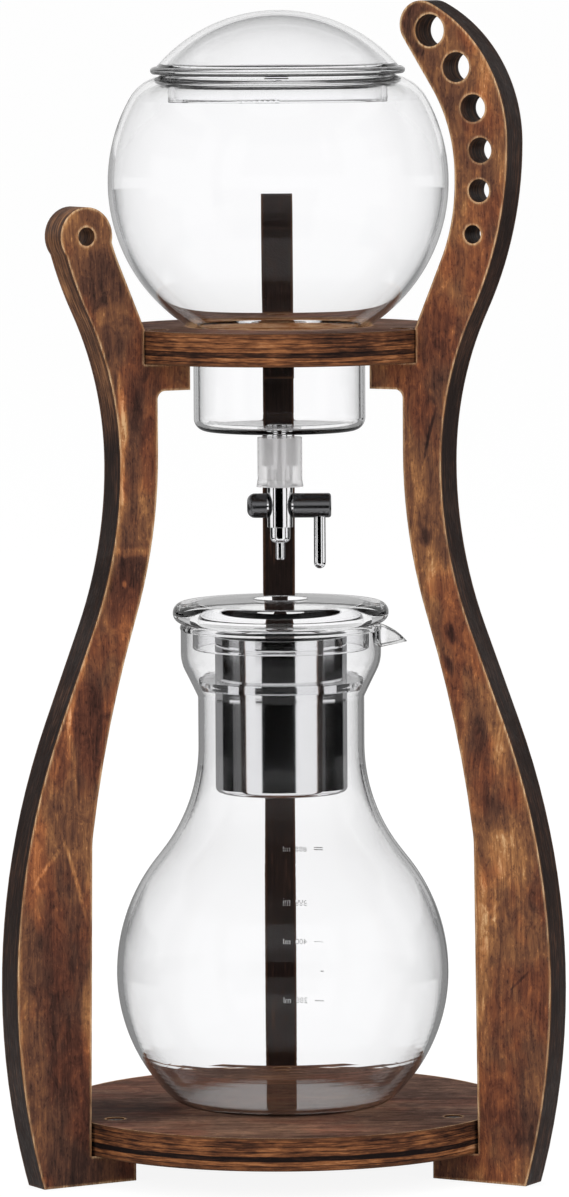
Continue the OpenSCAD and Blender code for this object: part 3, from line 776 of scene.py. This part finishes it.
# A round tent of light and dark panels, which only reflections see. Its strips go round from
# azimuth -180 to 180 degrees, counted from the camera's side and growing to the right, each with
# its brightness. The cup sees the lowest, which also lie on the floor from TENT_NEAR out, and the
# valve the ones above them. Behind the tower the strips up to TENT_PALE are greyer, and some lie on
# the floor from TENT_FOOT out. The flat rim of the globe's lid sees a thin dark strip at the back,
# and the domes see the grey top of the wall and the dark ceiling.
TENT_RADIUS = 1.2
TENT_NEAR = 0.5
TENT_FOOT = 0.11
# The heights between which the strips lie
TENT_FLOOR = 0.3 * MM
TENT_CUP = 0.08
TENT_VALVE = 0.29
TENT_PALE = 0.4
TENT_RIM = 0.425
TENT_WHITE = 0.95
TENT_TOP = 1.7
CEILING_SIDES = 48
CEILING_LEVEL = 0.12
# Degrees that one panel spans at most, or about that
PANEL_TURN = 4
CUP_STRIPS = [
    (-180, 0.3), (-122, 0.0), (-92, 0.12), (-71, 1.0), (-34, 0.0), (24, 1.0), (63, 0.06),
    (80, 0.0), (134, 0.3), (180, 1.0),
]
BACK_STRIPS = [[(-180, 0.3), (-130, 1.0)], [(130, 0.3), (180, 1.0)]]
VALVE_STRIPS = [
    (-180, 0.55), (-150, 0.03), (-100, 1.0), (-45, 0.0), (26, 1.0), (105, 0.03), (150, 0.55),
    (180, 1.0),
]
PALE_STRIPS = [(-180, 0.5), (-150, 0.95), (150, 0.5), (180, 1.0)]
RIM_STRIPS = [(-180, 0.0), (-165, 0.95), (165, 0.0), (180, 1.0)]
WHITE_STRIPS = [(-180, 0.95), (180, 1.0)]
GREY_STRIPS = [(-180, 0.35), (180, 1.0)]
TENT_WALL = [
    (CUP_STRIPS, TENT_FLOOR, TENT_CUP),
    (VALVE_STRIPS, TENT_CUP, TENT_VALVE),
    (PALE_STRIPS, TENT_VALVE, TENT_PALE),
    (RIM_STRIPS, TENT_PALE, TENT_RIM),
    (WHITE_STRIPS, TENT_RIM, TENT_WHITE),
    (GREY_STRIPS, TENT_WHITE, TENT_TOP),
]


def tent_panels():
    """The tent's points, faces and the brightness of each face."""
    points, faces, levels = [], [], []

    def on_tent(azimuth, reach, z):
        a = math.radians(azimuth)
        return AXIS.x + reach * math.sin(a), AXIS.y - reach * math.cos(a), z

    def panel(sides, inner, outer, low_z, high_z, level):
        first = len(points)
        points.extend(on_tent(azimuth, inner, low_z) for azimuth in sides)
        points.extend(on_tent(azimuth, outer, high_z) for azimuth in sides)
        faces.append((first, first + 1, first + 3, first + 2))
        levels.append(level)

    def strips(levels_round, inner, outer, low_z, high_z):
        for (start, level), (end, _) in zip(levels_round, levels_round[1:]):
            steps = max(2, round((end - start) / PANEL_TURN))
            turns = [start + (end - start) * i / steps for i in range(steps + 1)]
            for sides in zip(turns, turns[1:]):
                panel(sides, inner, outer, low_z, high_z, level)

    for behind in BACK_STRIPS:
        strips(behind, TENT_FOOT, TENT_NEAR, TENT_FLOOR, TENT_FLOOR)
    strips(CUP_STRIPS, TENT_NEAR, TENT_RADIUS, TENT_FLOOR, TENT_FLOOR)
    for levels_round, low_z, high_z in TENT_WALL:
        strips(levels_round, TENT_RADIUS, TENT_RADIUS, low_z, high_z)
    first = len(points)
    turns = [360 * i / CEILING_SIDES for i in range(CEILING_SIDES)]
    points.extend(on_tent(azimuth, TENT_RADIUS, TENT_TOP) for azimuth in turns)
    faces.append(tuple(range(first, first + CEILING_SIDES)))
    levels.append(CEILING_LEVEL)
    return points, faces, levels


def tent_glow():
    """A glow of each face's own brightness, clear for all rays but reflected ones."""
    g = Graph("tent")
    reflected = g.math("GREATER_THAN", g.add("LightPath").outputs["Glossy Depth"], 0.5)
    level = g.add("Attribute", attribute_name="level").outputs["Fac"]
    shine = g.shader("Emission", {"Color": WHITE, "Strength": level})
    return g.surface(g.mix_shaders(reflected, g.shader("BsdfTransparent"), shine))


def tent():
    points, faces, levels = tent_panels()
    mesh = bpy.data.meshes.new("tent")
    mesh.from_pydata(points, [], faces)
    mesh.attributes.new("level", "FLOAT", "FACE").data.foreach_set("value", levels)
    mesh.materials.append(tent_glow())
    thing = add_object("tent", mesh)
    thing.visible_camera = False
    thing.visible_diffuse = False
    thing.visible_shadow = False


tent()

LAMP_SIZE = 1.2
LAMP_AIM = Vector((0, 0, 0.2))


def lamp(name, place, power):
    """A soft square lamp that neither the camera nor reflections nor glass see."""
    data = bpy.data.lights.new(name, "AREA")
    data.shape = "SQUARE"
    data.size = LAMP_SIZE
    data.energy = power
    thing = add_object(name, data)
    thing.location = place
    thing.rotation_euler = (LAMP_AIM - thing.location).to_track_quat("-Z", "Y").to_euler()
    thing.visible_camera = False
    thing.visible_glossy = False
    thing.visible_transmission = False


lamp("lamp_left", (-1.5, -1.4, 1.0), 16)
lamp("lamp_right", (1.5, -1.4, 1.0), 16)
lamp("lamp_top", (0.0, 0.3, 1.9), 12)

# The camera stands in front of the tower, looks slightly down on it and is tilted a little
CAMERA_SPOT = AXIS + Vector((-0.02084, -2.56, 0.431))
CAMERA_DOWN = 5.125
CAMERA_ROLL = 0.33
CAMERA_YAW = -0.527

camera_data = bpy.data.cameras.new("camera")
camera_data.sensor_width = 36
camera_data.lens = 218.6
camera_data.clip_start = 0.1
camera_data.clip_end = 200
camera = add_object("camera", camera_data)
camera.location = CAMERA_SPOT
camera.rotation_euler = [math.radians(a) for a in (90 - CAMERA_DOWN, CAMERA_ROLL, CAMERA_YAW)]
bpy.context.scene.camera = camera
bpy.context.scene.view_settings.view_transform = "Standard"
